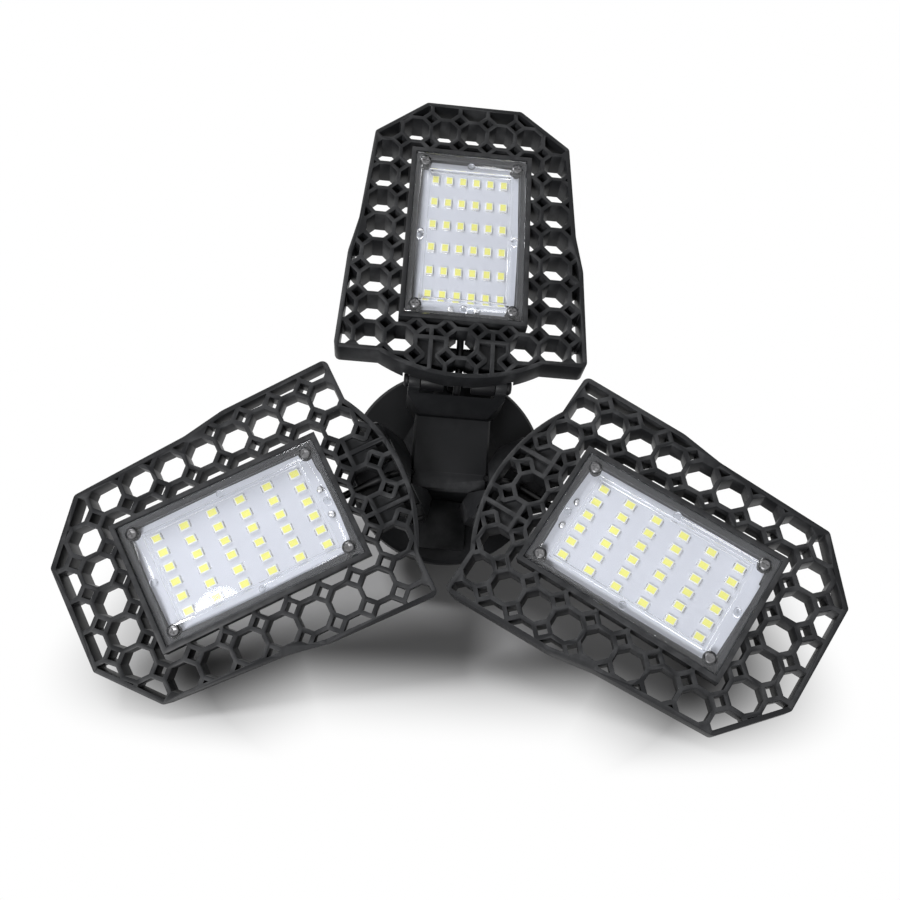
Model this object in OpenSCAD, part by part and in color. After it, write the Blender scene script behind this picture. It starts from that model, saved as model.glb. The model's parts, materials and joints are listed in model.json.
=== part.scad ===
// Three-panel folding ceiling light on a screw base.
// +Z runs up through the screw base, and the origin is the centre of the shoulder that
// meets the lampholder's mouth. The light shines towards -Z.
// A panel's own pieces are drawn in its hinge frame: x along the hinge axis, y outward from the
// hub, z towards the lit side, with the hinge axis at y = 0 and z = 0.

/* [Panel tilt] */
// Tilt of panel a, positive towards the base
tilt_a = 10; // [-14:1:65]
// Tilt of panel b, positive towards the base
tilt_b = 2; // [-14:1:65]
// Tilt of panel c, positive towards the base
tilt_c = -14; // [-14:1:65]

/* [Hinges] */
// Distance from the hub's axis to each hinge axis
hinge_radius = 23; // [23:0.5:26]
// Depth of the hinge axes below the base's shoulder
hinge_drop = 83; // [80:1:100]
// Distance from a hinge axis to the first full row of cells
hinge_to_row = 10.5; // [10.5:0.5:14]
// Gap between a hinge axis and the back of its panel
back_gap = 1; // [0.6:0.1:2]
// Radius of the ears and knuckles round a hinge axis
knuckle_r = 3.4; // [3:0.1:4]
// Thickness of each ear
ear_t = 4; // [3:0.5:6]
// Side clearance between an ear and its knuckle
ear_gap = 0.3; // [0.2:0.05:0.6]
// Radius of the hinge screws
hinge_screw_r = 1.5; // [1.2:0.1:1.8]
// Radial clearance of a hinge screw in its ear
hinge_fit = 0.06; // [0.03:0.01:0.09]

/* [Panel lattice] */
// Distance between cell centres across a panel
cell_pitch_x = 11; // [10.5:0.25:12]
// Distance between cell centres along a panel
cell_pitch_y = 11.5; // [11:0.25:12.5]
// Thickness of the ribs between cells
rib_w = 1.5; // [1.2:0.1:2]
// Corner cut that turns a cell into an octagon
cell_cut = 2.85; // [2.4:0.05:3.2]
// Width of the rim round the outline
rim_w = 1.6; // [1.4:0.1:2.4]
// Depth of a panel from front to back
frame_t = 10; // [9.5:0.5:14]

/* [Panel outline] */
// Half width of the outer end
tip_half_w = 18.5; // [16:0.5:22]
// Height of the outer end above the first row
tip_y = 105.5; // [104:0.5:112]
// Half width at the shoulders
shoulder_half_w = 37.8; // [36:0.2:40]
// Height of the shoulders
shoulder_y = 89.5; // [86:0.5:94]
// Half width at the waist
waist_half_w = 40.6; // [39:0.2:42]
// Height of the waist
waist_y = 49; // [44:0.5:56]
// Half width where the wings begin
flare_half_w = 43.4; // [42:0.2:44]
// Height where the wings begin
flare_y = 34; // [28:0.5:40]
// Half width of the wing tips
wing_half_w = 44.9; // [44:0.1:45]
// Depth of the wing tips below the first row
wing_drop = 5.5; // [4:0.5:5.5]
// Radius of the wing tips
wing_r = 2.2; // [1.8:0.1:3]
// Half width of the bowed inner edge
bow_half_w = 29.2; // [26:0.2:32]
// How far the inner edge bows towards the hub
bow_depth = 7.9; // [6:0.1:9]

/* [Light window] */
// Height of the window's centre above the first row
window_y = 46.1; // [44:0.1:48]
// Width of the lens
lens_w = 42.6; // [41:0.1:43]
// Length of the lens
lens_l = 70.8; // [70:0.1:73]
// Thickness of the lens
lens_t = 2; // [1.6:0.1:2.4]
// Bevel round the lens
lens_bevel = 0.5; // [0.3:0.1:0.7]
// Width of the bezel round the lens
bezel_w = 1.7; // [1.4:0.1:2]
// Height of the bezel above the lattice
bezel_rise = 0.4; // [0:0.1:1]
// Gap between the lens and the bezel
lens_gap = 0.15; // [0.1:0.05:0.3]
// Thickness of the lens seal
seal_t = 0.6; // [0.4:0.1:0.8]
// Width of the ledge under the lens
ledge_w = 2.2; // [1.8:0.1:2.4]
// Thickness of the floor behind the board
floor_t = 1.6; // [1.4:0.1:2]
// Distance of the corner screws from the lens's long sides
lens_screw_in_x = 3.7; // [3.5:0.1:4]
// Distance of the corner screws from the lens's short sides
lens_screw_in_y = 4; // [3.8:0.1:4.4]
// Radius of the corner screws
lens_screw_r = 1; // [0.8:0.1:1.2]
// Radius of the bosses under the corner screws
lens_boss_r = 2.5; // [2.3:0.1:2.8]
// Radius of the clear posts under the lens
lens_post_r = 1.3; // [1:0.1:1.6]

/* [LED board] */
// Thickness of the LED board
board_t = 1.2; // [1:0.1:1.6]
// Gap between the board and its pocket
board_gap = 0.2; // [0.1:0.05:0.3]
// Depth of the board's face below the lattice's face
board_depth = 4.4; // [4:0.1:4.6]
// LEDs across the board
led_columns = 6; // [4:1:6]
// LEDs along the board
led_rows = 6; // [4:1:6]
// Spacing of LEDs across the board
led_pitch_x = 5.3; // [4.8:0.1:5.5]
// Spacing of LEDs along the board
led_pitch_y = 10.1; // [8:0.1:10.3]
// Width of one LED
led_w = 2.8; // [2.6:0.1:3]
// Length of one LED
led_l = 3.5; // [3:0.1:3.8]
// Height of one LED
led_h = 0.7; // [0.5:0.1:0.9]
// Wall round the phosphor of one LED
led_wall = 0.35; // [0.25:0.05:0.5]
// Depth of the phosphor in one LED
phosphor_t = 0.35; // [0.2:0.05:0.4]

/* [Hinge bracket] */
// Thickness of the bracket plate
bracket_t = 2; // [1.6:0.1:2]
// Distance of the bracket's screws from the hinge axis
bracket_reach = 10.5; // [9.5:0.1:11]
// Half width of the gap between the knuckles
knuckle_gap = 5; // [4:0.5:6]
// Radius of the bracket's screws
bracket_screw_r = 1.25; // [1:0.05:1.5]

/* [Hub] */
// Width of the square front block
block_w = 28; // [26:0.5:30]
// Depth of the block's face behind the hinge axes
block_setback = 13.2; // [12:0.2:16]
// Wall of the block
block_wall = 3; // [2.4:0.2:4]
// Bevel round the front cover
cover_bevel = 0.8; // [0.4:0.1:1.2]
// Thickness of the front cover
cover_t = 2.5; // [2:0.1:4]
// Depth of the front cover's plug
plug_depth = 4; // [3:0.5:6]
// Gap round the front cover's plug
plug_gap = 0.1; // [0.05:0.05:0.2]
// Half width of an arm where it leaves the block
arm_root_half_w = 12; // [11:0.5:13]
// Depth of an arm's root along the block's side
arm_root_h = 19; // [16:0.5:20]
// Radius of the round flange
flange_r = 38.2; // [37:0.2:40]
// Depth of the flange's face behind the hinge axes
flange_setback = 36; // [35:0.5:38]
// Depth of the flange
flange_t = 8; // [7:0.5:10]
// Thickness of the flange's face
flange_face_t = 3; // [2.5:0.5:4]
// Bevel round the flange
flange_bevel = 1.2; // [0.6:0.1:2]
// Width of the lug below the block
lug_w = 17; // [14:0.5:20]
// Distance from the hub's axis to the lug's near side
lug_near = 15; // [14.5:0.5:17]
// Distance from the hub's axis to the lug's far side
lug_far = 33; // [30:0.5:35]
// Height of the lug above the flange
lug_h = 3; // [2:0.5:6]

/* [Driver housing] */
// Wall of the housing
housing_wall = 2.4; // [2:0.2:3]
// Step between the flange and the housing
housing_step = 1; // [0.6:0.1:2]
// Height of the housing's neck under the base
neck_h = 6; // [5:0.5:8]
// Radius of the housing's neck
neck_r = 15; // [14.5:0.1:16]
// Straight height of the housing's side before the bowl
side_h = 5; // [4:0.5:7]
// Number of air slots round the bowl
vent_count = 24; // [12:2:30]
// Width of an air slot
vent_w = 2.2; // [1.6:0.1:2.6]
// Distance between the slots' ends and the housing's straight side
vent_margin = 2.5; // [2:0.5:4]
// Radius of the housing's screws
housing_screw_r = 1.5; // [1.2:0.1:1.6]
// Radius of the posts that take the housing's screws
housing_post_r = 2.8; // [2.6:0.1:3]

/* [Screw base] */
// Radius of the base's plain collar
collar_r = 13.2; // [13.1:0.05:13.3]
// Height of the plain collar
collar_h = 3.5; // [3:0.5:4]
// Crest radius of the thread
thread_crest_r = 13.05; // [12.9:0.05:13.1]
// Depth of the thread
thread_depth = 0.75; // [0.6:0.05:0.85]
// Pitch of the thread, seven turns to the inch
thread_pitch = 3.63; // [3.6:0.01:3.66]
// Height of the threaded shell above the shoulder
shell_h = 22; // [20:0.5:24]
// Wall of the shell
shell_wall = 0.4; // [0.3:0.05:0.6]
// Height of the insulator above the shell
insulator_h = 3.2; // [2.6:0.2:4]
// Depth of the insulator inside the shell
insulator_plug = 2; // [1.5:0.5:3]
// Radius of the centre contact
contact_r = 4.8; // [4:0.1:5.5]
// Height of the centre contact
contact_h = 1.4; // [1:0.1:2]
// Radius of the rivet through the insulator
rivet_r = 1.5; // [1.2:0.1:2]
// Gap between the shell and the neck inside it
shell_gap = 0.1; // [0.05:0.05:0.2]

/* [Driver] */
// Radius of the driver board
driver_r = 28; // [26:0.5:28.5]
// Thickness of the driver board
driver_t = 1.6; // [1.2:0.1:2]
// Height of the posts under the driver board
post_h = 3; // [2.5:0.5:4]
// Radius of the leads between hub and panels
lead_r = 1.3; // [1.1:0.05:1.35]
// Radius of the two wires inside each lead
core_r = 0.55; // [0.4:0.05:0.6]
// Radius of the wires between the driver board and the base
mains_r = 0.9; // [0.7:0.05:1]
// Radius of the driver board's screws
board_screw_r = 1.2; // [1:0.1:1.4]
// Width of the transformer
transformer_w = 16; // [13:0.5:17]
// Length of the transformer's core
transformer_l = 14; // [12:0.5:15]
// Height of the transformer
transformer_h = 13; // [10:0.5:16]
// Width of the square connector block under the driver board
connector_w = 14; // [12:0.5:16]
// Height of the connector block
connector_h = 7; // [6:0.5:8]
// Radius of the bulk capacitor
bulk_r = 5; // [4:0.5:5.5]
// Height of the bulk capacitor
bulk_h = 16; // [12:1:18]
// Width of the film capacitor
film_w = 13; // [10:0.5:14]
// Thickness of the film capacitor
film_l = 6; // [5:0.5:7]
// Height of the film capacitor
film_h = 11; // [8:0.5:13]
// Width of the rectifier
rectifier_w = 9; // [7:0.5:10]
// Length of the rectifier
rectifier_l = 6.5; // [5:0.5:7]
// Height of the rectifier
rectifier_h = 3; // [2.5:0.5:4]
// Radius of the choke's ring
choke_r = 4.3; // [4:0.1:4.6]
// Radius of the choke's winding
choke_winding_r = 2.1; // [1.6:0.1:2.2]
// Length of the fuse resistor
fuse_l = 9; // [7:0.5:10]
// Radius of the fuse resistor
fuse_r = 1.7; // [1.2:0.1:1.9]

/* [Hidden] */

$fn = 48;
overlap = 0.5;

plastic_black = [0.07, 0.07, 0.075];
metal_dark = [0.32, 0.32, 0.34];
metal_bright = [0.78, 0.79, 0.8];

// Headings of the three panels round the hub's axis
heading = [-90, 150, 30];
tilt = [tilt_a, tilt_b, tilt_c];

// Panel levels above the hinge axis
front_z = back_gap + frame_t;
lens_top_z = front_z + bezel_rise;
lens_under_z = lens_top_z - lens_t;
ledge_z = lens_under_z - seal_t;
board_top_z = front_z - board_depth;
floor_top_z = board_top_z - board_t;
floor_under_z = floor_top_z - floor_t;
window_mid_y = hinge_to_row + window_y;

// Window sizes that follow the lens
pocket_w = lens_w + 2 * lens_gap;
pocket_l = lens_l + 2 * lens_gap;
bezel_out_w = pocket_w + 2 * bezel_w;
bezel_out_l = pocket_l + 2 * bezel_w;
well_w = pocket_w - 2 * ledge_w;
well_l = pocket_l - 2 * ledge_w;
board_w = well_w - 2 * board_gap;
board_l = well_l - 2 * board_gap;
lens_screw_x = lens_w / 2 - lens_screw_in_x;
lens_screw_y = lens_l / 2 - lens_screw_in_y;
lens_head_r = lens_screw_r + 0.9;
lens_head_h = 1;
led_area_w = (led_columns - 1) * led_pitch_x + led_w;
led_area_l = (led_rows - 1) * led_pitch_y + led_l;
skirt_w = led_area_w + 1.2;
skirt_l = led_area_l + 1.2;
solder_x = 4.4;
solder_y = window_mid_y - board_l / 2 + 2.4;
solder_h = 0.9;
core_hole_r = core_r + 0.2;

// Path of a panel's lead from the hinge to the board, and the groove that it lies in
lead_z = back_gap + 0.1 + lead_r;
lead_bend_y = lead_z * 4 / 3;
lead_end_y = solder_y - 3.4;
lead_groove_half_w = lead_r + 0.4;

// Cells
cell_half_x = (cell_pitch_x - rib_w) / 2;
cell_half_y = (cell_pitch_y - rib_w) / 2;
diamond_r = (cell_pitch_x + cell_pitch_y) / 2 - (cell_half_x + cell_half_y - cell_cut)
    - rib_w * sqrt(2);
least_slit = 0.5;
cell_columns = ceil(wing_half_w / cell_pitch_x);
cell_rows = ceil(tip_y / cell_pitch_y);
// Corner radii of the outline, from the outer end to the wing tip
side_radii = [1.5, 2, 8, 8, wing_r];
bow_r = (bow_half_w * bow_half_w + bow_depth * bow_depth) / (2 * bow_depth);

// Hinge sizes
bracket_screw_x = cell_pitch_x;
bracket_head_r = bracket_screw_r + 0.95;
bracket_head_h = 1.5;
knuckle_end = bracket_screw_x + bracket_head_r + 0.1;
ear_in = knuckle_end + ear_gap;
ear_out = ear_in + ear_t;
hinge_head_r = hinge_screw_r + 1.2;
hinge_head_h = 1.7;
sweep_gap = 0.6;
boss_z = front_z - 2.2;
web_z = front_z - 6;
boss_reach = 2.5;
screw_gap = 0.15;

// Hub levels, from the base's shoulder downwards
cover_face_z = -hinge_drop + block_setback;
block_end_z = cover_face_z + cover_t;
flange_face_z = -hinge_drop + flange_setback;
flange_back_z = flange_face_z + flange_t;
flange_inner_z = flange_face_z + flange_face_t;
cavity_w = block_w - 2 * block_wall;
driver_z = flange_inner_z + post_h;
driver_top_z = driver_z + driver_t;
housing_r = flange_r - housing_step;
post_ring = driver_r - 5;
post_turns = [60, 180, 300];
housing_post_ring = housing_r - housing_wall - housing_post_r - 0.4;
housing_head_h = 1.5;
housing_pilot_h = 10;
side_top_z = flange_back_z + side_h;

// Each hub lead runs straight from a ball on its hinge axis to just under the connector block
lead_ball_r = 1.5 * lead_r;
lead_pin_ring = 6.2;
lead_end_gap = 0.7;
lead_end = [0, lead_pin_ring - hinge_radius,
            -(hinge_drop + driver_z - connector_h - lead_end_gap)];
lead_bore_r = lead_r + 0.25;
lead_bore_reach = 0.85;

// Base levels and radii
thread_root_r = thread_crest_r - thread_depth;
shell_inner_r = thread_root_r - shell_wall;
spigot_r = shell_inner_r - shell_gap;
spigot_bore_r = spigot_r - housing_wall;
plug_z = shell_h - insulator_plug;
rivet_end_z = plug_z - 1;
notch_z = plug_z - 3.5;
thread_sides = 36;
thread_steps = 8;
thread_rings = round((shell_h - collar_h) / thread_pitch * thread_steps);
thread_fade = 1.2;

// Places of the pieces on the driver board
transformer_at = [-2, 10];
bulk_at = [-12, -10];
film_at = [-3, -20];
rectifier_at = [17, 10];
choke_at = [14, -4];
fuse_at = [2, -11.5];
live_at = [3, -3];
neutral_at = [-3, -3];

// ---------- Placing ----------

// Puts children drawn in a hinge frame on panel number i
module on_hinge(i) {
    translate([0, 0, -hinge_drop])
        rotate([180, 0, heading[i] + 90])
            translate([0, hinge_radius, 0])
                children();
}

// The same, tilted with the panel
module on_panel(i) {
    on_hinge(i) rotate([-tilt[i], 0, 0]) children();
}

// Copies children to both sides of the panel's middle line
module both_sides() {
    children();
    mirror([1, 0, 0]) children();
}

// Centre of the window, at the height z
module at_window(z) {
    translate([0, window_mid_y, z]) children();
}

// Copies children to four corners
module four_corners(x, y) {
    for (sx = [-1, 1], sy = [-1, 1])
        translate([sx * x, sy * y, 0]) children();
}

// ---------- Plain shapes ----------

// A slab on z = 0 with bevelled top edges
module bevelled_slab(w, l, t, bevel) {
    intersection() {
        translate([-w / 2, -l / 2, 0]) cube([w, l, t]);
        rotate([90, 0, 90])
            linear_extrude(w + 2, center = true)
                polygon(bevelled_profile(l, t, bevel));
        rotate([90, 0, 0])
            linear_extrude(l + 2, center = true)
                polygon(bevelled_profile(w, t, bevel));
    }
}

function bevelled_profile(w, t, bevel) = [
    [-w / 2, -1], [w / 2, -1], [w / 2, t - bevel], [w / 2 - bevel, t],
    [-w / 2 + bevel, t], [-w / 2, t - bevel]];

// A slab on z = 0
module slab(w, l, t) {
    translate([-w / 2, -l / 2, 0]) cube([w, l, t]);
}

// A round rod between two points
module rod(from, to, r) {
    span = to - from;
    length = norm(span);
    translate(from)
        rotate([0, acos(span[2] / length), atan2(span[1], span[0])])
            cylinder(r = r, h = length);
}

// A rod along a list of points, with round joints that are a little fuller than the rod and
// turned so that their poles lie off it
module bent_rod(points, r) {
    for (i = [0 : len(points) - 2])
        rod(points[i], points[i + 1], r);
    for (i = [1 : len(points) - 2])
        translate(points[i]) rotate([35, 25, 0]) sphere(1.08 * r);
}

// A cross-recessed pan-head screw that points down from z = 0, head above
module screw(r, length, head_r, head_h) {
    difference() {
        union() {
            translate([0, 0, -length]) cylinder(r = r, h = length);
            cylinder(r = head_r, h = head_h * 0.6);
            translate([0, 0, head_h * 0.6])
                cylinder(r1 = head_r, r2 = head_r * 0.72, h = head_h * 0.4);
        }
        for (turn = [0, 90])
            rotate([0, 0, turn])
                translate([-head_r * 0.6, -head_r * 0.12, head_h * 0.45])
                    cube([head_r * 1.2, head_r * 0.24, head_h]);
    }
}

// ---------- Panel outline and lattice ----------

// Right half of the outline from the outer end to the wing tip
function outline_side() = [
    [tip_half_w, tip_y], [shoulder_half_w, shoulder_y], [waist_half_w, waist_y],
    [flare_half_w, flare_y], [wing_half_w, -wing_drop]];

// The other half, mirrored and in the reverse order
function mirrored(side) = [for (i = [len(side) - 1 : -1 : 0]) [-side[i][0], side[i][1]]];

// Moves each edge of a clockwise outline inward by d and meets it with the next one
function inset(points, d) = [
    for (i = [0 : len(points) - 1])
        let (
            before = points[(i + len(points) - 1) % len(points)],
            here = points[i],
            after = points[(i + 1) % len(points)],
            u = (here - before) / norm(here - before),
            v = (after - here) / norm(after - here),
            turn = u[0] * v[1] - u[1] * v[0],
            in_u = [u[1], -u[0]],
            in_v = [v[1], -v[0]]
        )
        here + d * (abs(turn) < 0.001 ? in_u : (in_u + in_v) / (1 + in_u * in_v))];

// Rounds the corners of an outline with arcs of the given radii
function rounded(points, radii) = [
    for (i = [0 : len(points) - 1])
        let (
            before = points[(i + len(points) - 1) % len(points)],
            here = points[i],
            after = points[(i + 1) % len(points)],
            u = (before - here) / norm(before - here),
            v = (after - here) / norm(after - here),
            half = acos(u * v) / 2,
            r = radii[i],
            middle = here + (u + v) / norm(u + v) * r / sin(half),
            first = here + u * r / tan(half) - middle,
            last = here + v * r / tan(half) - middle,
            start = atan2(first[1], first[0]),
            swing = (atan2(last[1], last[0]) - start + 540) % 360 - 180,
            steps = max(1, ceil(abs(swing) / 12))
        )
        for (k = [0 : steps])
            middle + r * [cos(start + swing * k / steps), sin(start + swing * k / steps)]];

// The outline, pulled in by d, in cell coordinates: the first full row is at y = 0
module outline(d = 0) {
    side = outline_side();
    radii = [for (r = side_radii) max(r - d, 0.4)];
    back = [for (i = [len(radii) - 1 : -1 : 0]) radii[i]];
    polygon(rounded(inset(concat(side, mirrored(side)), d), concat(radii, back)));
    intersection() {
        translate([0, bow_r - wing_drop - bow_depth]) circle(r = bow_r - d, $fn = 96);
        translate([-wing_half_w, -wing_drop - bow_depth - 1])
            square([2 * wing_half_w, bow_depth + 1 + d + overlap]);
    }
}

// Half width of the outline at height y
function edge_at(y) = lookup(y, [
    [-wing_drop, wing_half_w], [flare_y, flare_half_w], [waist_y, waist_half_w],
    [shoulder_y, shoulder_half_w], [tip_y, tip_half_w]]);

// Height of the outline's lower edge at x
function low_edge_at(x) = abs(x) > bow_half_w
    ? -wing_drop
    : bow_r - wing_drop - bow_depth - sqrt(bow_r * bow_r - x * x);

// True where a cell that reaches r from its centre would show inside the rim
function shows(x, y, r) =
    abs(x) - r < edge_at(y) - rim_w - least_slit
    && y - r < tip_y - rim_w - least_slit
    && y + r > low_edge_at(x) + rim_w + least_slit;

// A cell's octagon, with its sides moved outward by grow
module octagon_cell(grow = 0) {
    a = cell_half_x + grow;
    b = cell_half_y + grow;
    c = cell_cut + grow * (2 - sqrt(2));
    polygon([[a, b - c], [a - c, b], [c - a, b], [-a, b - c],
             [-a, c - b], [c - a, -b], [a - c, -b], [a, c - b]]);
}

module diamond_cell() {
    polygon([[diamond_r, 0], [0, diamond_r], [-diamond_r, 0], [0, -diamond_r]]);
}

module cells() {
    for (column = [-cell_columns : cell_columns], row = [-1 : cell_rows]) {
        x = column * cell_pitch_x;
        y = row * cell_pitch_y;
        if (shows(x, y, cell_half_x))
            translate([x, y]) octagon_cell();
        if (shows(x + cell_pitch_x / 2, y + cell_pitch_y / 2, diamond_r))
            translate([x + cell_pitch_x / 2, y + cell_pitch_y / 2]) diamond_cell();
    }
    both_sides() translate([cell_pitch_x, -cell_pitch_y / 2]) boss_slot();
}

// Joins the two cells over a bracket screw, through the rib between them
module boss_slot() {
    square([2 * (cell_half_x - cell_cut), cell_pitch_y - 2 * cell_half_y + overlap],
        center = true);
}

module lattice() {
    difference() {
        outline();
        intersection() {
            outline(rim_w);
            cells();
        }
    }
}

// ---------- Panel pieces, in the hinge frame ----------

// The four pillars that take the lens's corner screws
module lens_bosses() {
    four_corners(lens_screw_x, lens_screw_y)
        translate([0, 0, floor_top_z - overlap])
            cylinder(r = lens_boss_r, h = lens_under_z - floor_top_z + overlap);
}

// The two closed cells over one bracket screw: deep floors with a shallow one between them,
// and a T of ribs whose bar stands past the screw
module bracket_boss() {
    translate([bracket_screw_x, hinge_to_row, back_gap]) {
        linear_extrude(web_z - back_gap) filled_cells();
        linear_extrude(boss_z - back_gap)
            intersection() {
                filled_cells();
                translate([-cell_pitch_x / 2, -cell_pitch_y / 2 - boss_reach])
                    square([cell_pitch_x, cell_pitch_y / 2 + boss_reach + rib_w]);
            }
        translate([-rib_w / 2, -1.5 * cell_pitch_y, 0])
            cube([rib_w, 2 * cell_pitch_y, frame_t]);
        translate([-cell_pitch_x / 2, rib_w / 2, 0])
            cube([cell_pitch_x, rib_w, frame_t]);
    }
}

// Both cells' floors, which reach into the ribs round them
module filled_cells() {
    for (y = [0, -cell_pitch_y])
        translate([0, y]) octagon_cell(rib_w / 2);
}

module panel_frame() {
    color(plastic_black)
    difference() {
        union() {
            translate([0, hinge_to_row, back_gap]) linear_extrude(frame_t) lattice();
            at_window(floor_under_z)
                slab(bezel_out_w, bezel_out_l, lens_top_z - floor_under_z);
            intersection() {
                both_sides() bracket_boss();
                translate([0, hinge_to_row, back_gap]) linear_extrude(frame_t) outline();
            }
        }
        window_pocket();
        hinge_clearance();
        lead_channel();
        both_sides()
            translate([bracket_screw_x, bracket_reach, back_gap - 1])
                cylinder(r = bracket_screw_r, h = boss_z - back_gap - 0.5, $fn = 24);
    }
}

// The lens's recess, the well for the board and the pilot holes, leaving the corner pillars
module window_pocket() {
    at_window(0) difference() {
        union() {
            translate([0, 0, ledge_z]) slab(pocket_w, pocket_l, frame_t);
            translate([0, 0, floor_top_z]) slab(well_w, well_l, frame_t);
        }
        lens_bosses();
    }
    at_window(0)
        four_corners(lens_screw_x, lens_screw_y)
            translate([0, 0, floor_top_z])
                cylinder(r = lens_screw_r, h = frame_t, $fn = 24);
}

// Round groove in the back that the ears and the screw heads turn in
module hinge_clearance() {
    half = ear_out + hinge_head_h + sweep_gap;
    rotate([0, 90, 0])
        cylinder(r = knuckle_r + sweep_gap, h = 2 * half, center = true);
}

module lead_channel() {
    translate([-lead_groove_half_w, -knuckle_r, back_gap - 1])
        cube([2 * lead_groove_half_w, lead_end_y + knuckle_r + 1, floor_under_z - back_gap + 1]);
    translate([-solder_x - 1, lead_end_y - 1, back_gap - 1])
        cube([2 * solder_x + 2, solder_y - lead_end_y + 2, floor_under_z - back_gap + 1]);
    both_sides()
        translate([solder_x, solder_y, 0])
            cylinder(r = core_hole_r, h = board_top_z, $fn = 24);
}

module panel_lens() {
    skirt_wall = 1;
    skirt_h = 1.3;
    color([0.86, 0.89, 0.93, 0.45])
    at_window(lens_under_z)
    difference() {
        union() {
            bevelled_slab(lens_w, lens_l, lens_t, lens_bevel);
            difference() {
                translate([0, 0, -skirt_h])
                    slab(skirt_w + 2 * skirt_wall, skirt_l + 2 * skirt_wall, skirt_h + overlap);
                translate([0, 0, -2 * skirt_h]) slab(skirt_w, skirt_l, 2 * skirt_h);
            }
            for (side = [-1, 1])
                for (place = [[0, side * lens_screw_y], [side * lens_screw_x, 0]])
                    translate([place[0], place[1], board_top_z - lens_under_z])
                        cylinder(r = lens_post_r, h = lens_under_z - board_top_z + overlap);
        }
        four_corners(lens_screw_x, lens_screw_y) {
            translate([0, 0, -1]) cylinder(r = lens_screw_r + screw_gap, h = lens_t + 2, $fn = 32);
            translate([0, 0, lens_t - lens_head_h])
                cylinder(r = lens_head_r + screw_gap, h = lens_head_h + 1, $fn = 32);
        }
    }
}

module panel_lens_seal() {
    color([0.2, 0.2, 0.21])
    at_window(ledge_z)
    difference() {
        slab(lens_w, lens_l, seal_t);
        translate([0, 0, -1]) slab(well_w, well_l, seal_t + 2);
        four_corners(lens_screw_x, lens_screw_y)
            translate([0, 0, -1]) cylinder(r = lens_boss_r + screw_gap, h = seal_t + 2);
    }
}

module panel_led_board() {
    color([0.84, 0.85, 0.9])
    difference() {
        at_window(floor_top_z) difference() {
            slab(board_w, board_l, board_t);
            four_corners(lens_screw_x, lens_screw_y)
                translate([0, 0, -1]) cylinder(r = lens_boss_r + board_gap, h = board_t + 2);
        }
        both_sides()
            translate([solder_x, solder_y, floor_top_z - 1])
                cylinder(r = core_hole_r, h = board_t + 2, $fn = 24);
    }
}

// Copies children to every LED's place on the board
module each_led() {
    for (column = [0 : led_columns - 1], row = [0 : led_rows - 1])
        translate([(column - (led_columns - 1) / 2) * led_pitch_x,
                   window_mid_y + (row - (led_rows - 1) / 2) * led_pitch_y,
                   board_top_z])
            children();
}

module panel_led_packages() {
    color([0.96, 0.96, 0.92])
    each_led() difference() {
        slab(led_w, led_l, led_h);
        translate([0, 0, led_h - phosphor_t])
            slab(led_w - 2 * led_wall, led_l - 2 * led_wall, led_h);
    }
}

module panel_led_phosphors() {
    color([0.98, 0.94, 0.45])
    each_led()
        translate([0, 0, led_h - phosphor_t])
            slab(led_w - 2 * led_wall, led_l - 2 * led_wall, phosphor_t);
}

module panel_lens_screws() {
    color(metal_dark)
    at_window(lens_top_z - lens_head_h)
        four_corners(lens_screw_x, lens_screw_y)
            screw(lens_screw_r, lens_under_z - floor_top_z, lens_head_r, lens_head_h - 0.1);
}

module panel_bracket() {
    plate_end = bracket_reach + bracket_screw_r + 2;
    color(metal_bright)
    difference() {
        union() {
            translate([-knuckle_end, 0, back_gap - bracket_t])
                cube([2 * knuckle_end, plate_end, bracket_t]);
            rotate([0, 90, 0]) cylinder(r = knuckle_r, h = 2 * knuckle_end, center = true);
        }
        translate([-knuckle_gap, -knuckle_r - 1, -knuckle_r - 1])
            cube([2 * knuckle_gap, 2 * knuckle_r + 3, 2 * knuckle_r + 2]);
        rotate([0, 90, 0])
            cylinder(r = hinge_screw_r, h = 2 * knuckle_end + 2, center = true);
        both_sides()
            translate([bracket_screw_x, bracket_reach, -bracket_t])
                cylinder(r = bracket_screw_r + screw_gap, h = 2 * bracket_t + 2, $fn = 32);
    }
}

module panel_bracket_screws() {
    color(metal_dark)
    both_sides()
        translate([bracket_screw_x, bracket_reach, back_gap - bracket_t])
            rotate([180, 0, 0])
                screw(bracket_screw_r, bracket_t + boss_z - back_gap - 2,
                      bracket_head_r, bracket_head_h);
}

module panel_hinge_screws() {
    color(metal_dark)
    both_sides()
        translate([ear_out + 0.1, 0, 0])
            rotate([0, 90, 0])
                screw(hinge_screw_r, ear_out + 0.1 - knuckle_gap - 0.5, hinge_head_r, hinge_head_h);
}

// Starts clear of the round end of the hub's lead, so that it can turn about the hinge axis
module panel_lead() {
    color([0.1, 0.1, 0.1])
    difference() {
        union() {
            bent_rod([[0, 0, 0], [0, lead_bend_y, lead_z], [0, lead_end_y, lead_z]], lead_r);
            both_sides() {
                bent_rod([[0, lead_end_y - 0.6, lead_z], [solder_x, solder_y, lead_z],
                          [solder_x, solder_y, board_top_z + solder_h / 2]], core_r);
                translate([solder_x, solder_y, board_top_z])
                    cylinder(r1 = 2.4 * core_r, r2 = 1.4 * core_r, h = solder_h, $fn = 24);
            }
        }
        sphere(lead_ball_r + 0.1);
    }
}

// ---------- Hub pieces ----------

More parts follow.
